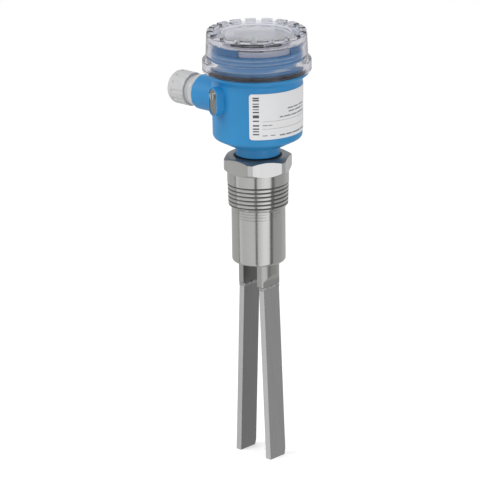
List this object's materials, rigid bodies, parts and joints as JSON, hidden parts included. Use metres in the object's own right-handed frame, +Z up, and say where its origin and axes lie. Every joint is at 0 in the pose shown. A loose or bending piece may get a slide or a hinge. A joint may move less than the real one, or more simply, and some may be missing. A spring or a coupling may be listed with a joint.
{
  "type": "tuning fork level switch",
  "caption": "Level switch with a vibrating fork: two flat tines on a steel tube with a tapered thread and hexagon, a swivelling housing with a clear screw cover and a side cable gland.",
  "frame": {"origin": "on the sensor axis, at the underside of the hexagon, where the process thread begins", "axes": "+Z up the sensor axis towards the cover; the tines stand apart along X; the cable gland points along -X"},
  "size_m": [0.1316, 0.0862, 0.3541],
  "materials": {
    "stainless": "turned and brushed stainless steel",
    "housing_blue": "moulded polyester, satin",
    "cover_clear": "clear moulded polyamide",
    "seal_rubber": "black elastomer",
    "gland_grey": "light grey moulded polyamide",
    "label_white": "printed film, matt",
    "insert_white": "pale moulded plastic",
    "black_plastic": "black moulded plastic",
    "slider_white": "white moulded plastic",
    "piezo_ceramic": "sintered ceramic",
    "contact_brass": "plain",
    "seal_glass": "fused glass",
    "lead_red": "bundled insulated wires",
    "lamp_green": "tinted lens",
    "lamp_yellow": "tinted lens",
    "lamp_red": "tinted lens"
  },
  "bodies": {
    "sensor": {"process_connection": "stainless", "fork_base": "stainless", "tine_front": "stainless", "tine_rear": "stainless", "neck_seal": "seal_rubber", "swivel_nut": "stainless", "feedthrough": "seal_glass", "feedthrough_pins": "contact_brass", "sensor_leads": "lead_red", "sensor_plug": "black_plastic", "drive_stud": "stainless", "pressure_rings": "stainless", "piezo_rings": "piezo_ceramic", "electrode_plates": "contact_brass", "drive_nut": "stainless"},
    "housing": {"housing": "housing_blue", "nameplate": "label_white", "ground_plate": "stainless", "ground_screw": "stainless", "gland_gasket": "seal_rubber", "gland_body": "gland_grey", "insert_body": "insert_white", "insert_screws": "stainless", "terminal_block": "black_plastic", "terminal_screws": "stainless", "led_green": "lamp_green", "led_yellow": "lamp_yellow", "led_red": "lamp_red", "switch_block": "black_plastic", "inner_ground_clamp": "stainless"},
    "cover_ring": {"cover_seal": "seal_rubber"},
    "cover": {"cover": "cover_clear"},
    "gland_sleeve": {"gland_seal": "seal_rubber"},
    "gland_nut": {"gland_nut": "gland_grey"},
    "failsafe_switch": {"failsafe_slider": "slider_white"},
    "density_switch": {"density_slider": "slider_white"}
  },
  "joints": [
    {"name": "housing_swivel", "type": "hinge", "parent": "sensor", "child": "housing", "pos_m": [0, 0, 0.0134], "axis": [0, 0, 1], "range_deg": [-175, 175]},
    {"name": "cover_lift", "type": "slide", "parent": "housing", "child": "cover_ring", "axis": [0, 0, 1], "range_m": [0, 0.015]},
    {"name": "cover_turn", "type": "hinge", "parent": "cover_ring", "child": "cover", "pos_m": [0, 0, 0.0822], "axis": [0, 0, 1], "range_deg": [0, 1800]},
    {"name": "gland_out", "type": "slide", "parent": "housing", "child": "gland_sleeve", "axis": [-1, 0, 0], "range_m": [0, 0.006]},
    {"name": "gland_nut_turn", "type": "hinge", "parent": "gland_sleeve", "child": "gland_nut", "pos_m": [-0.0691, 0, 0.0535], "axis": [-1, 0, 0], "range_deg": [0, 1440]},
    {"name": "failsafe_slide", "type": "slide", "parent": "housing", "child": "failsafe_switch", "axis": [0, 1, 0], "range_m": [0, 0.0022]},
    {"name": "density_slide", "type": "slide", "parent": "housing", "child": "density_switch", "axis": [0, 1, 0], "range_m": [0, 0.0022]}
  ],
  "couplings": [
    {"joint": "cover_turn", "follows": "cover_lift", "rad_per_m": 2094.3},
    {"joint": "gland_nut_turn", "follows": "gland_out", "rad_per_m": 4188.7}
  ]
}
